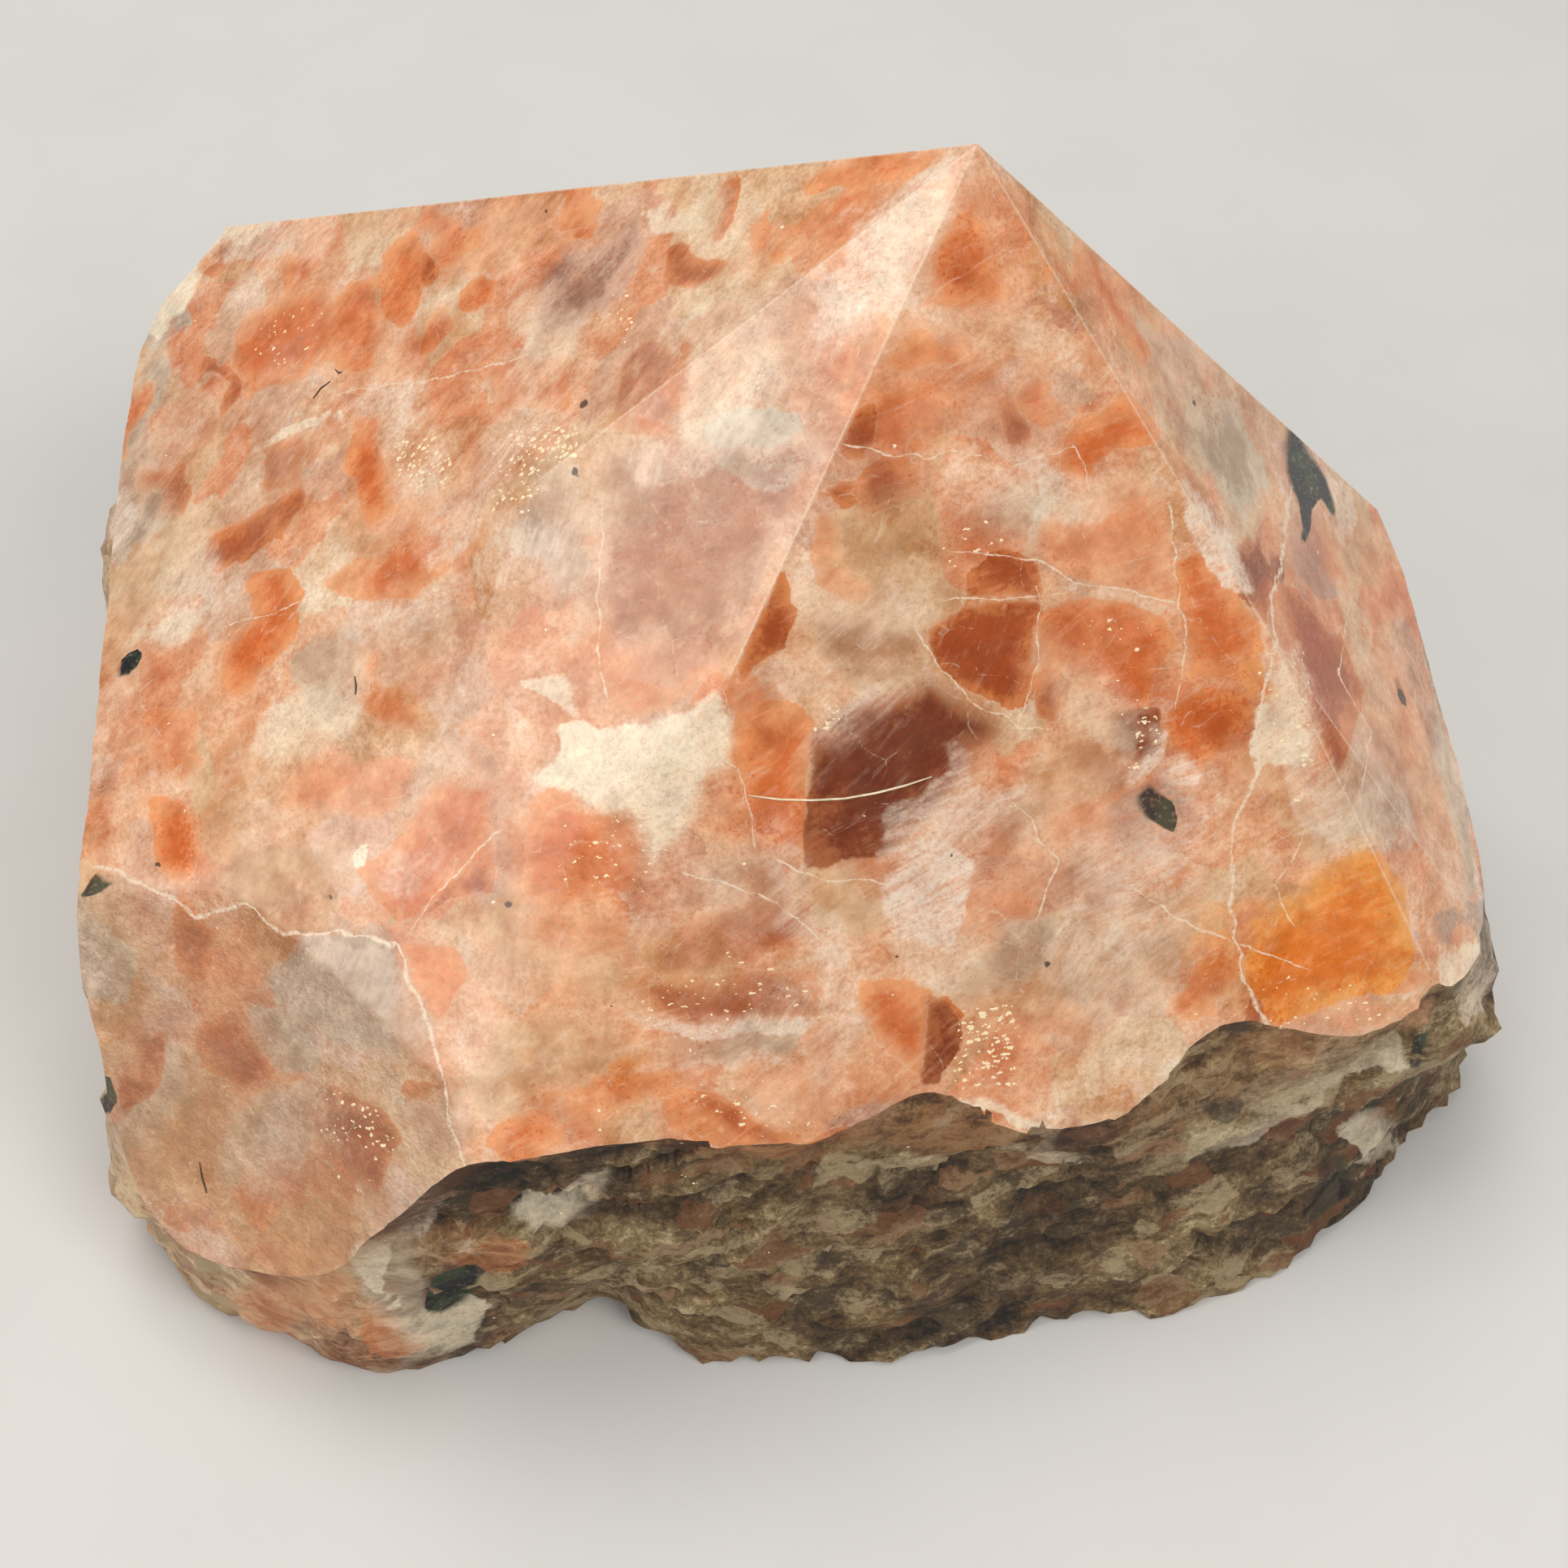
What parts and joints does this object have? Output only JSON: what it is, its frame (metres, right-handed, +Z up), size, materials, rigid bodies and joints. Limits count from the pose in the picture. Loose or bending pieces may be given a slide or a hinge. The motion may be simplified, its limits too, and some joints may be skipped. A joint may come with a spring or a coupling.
{
  "type": "sunstone point",
  "caption": "Natural sunstone block with broken rocky sides, a flat-cut base and a top ground and polished to an off-centre point; a free-standing display stone.",
  "frame": {"origin": "centre of the block's footprint box, on the flat-cut base", "axes": "+Z up through the block, +X along its longest side, towards the end below the steep facets; the broken front wall faces -Y"},
  "size_m": [0.11, 0.0852, 0.078],
  "materials": {
    "sunstone": "polished"
  },
  "bodies": {
    "root": {"sunstone_point": "sunstone"}
  },
  "joints": []
}
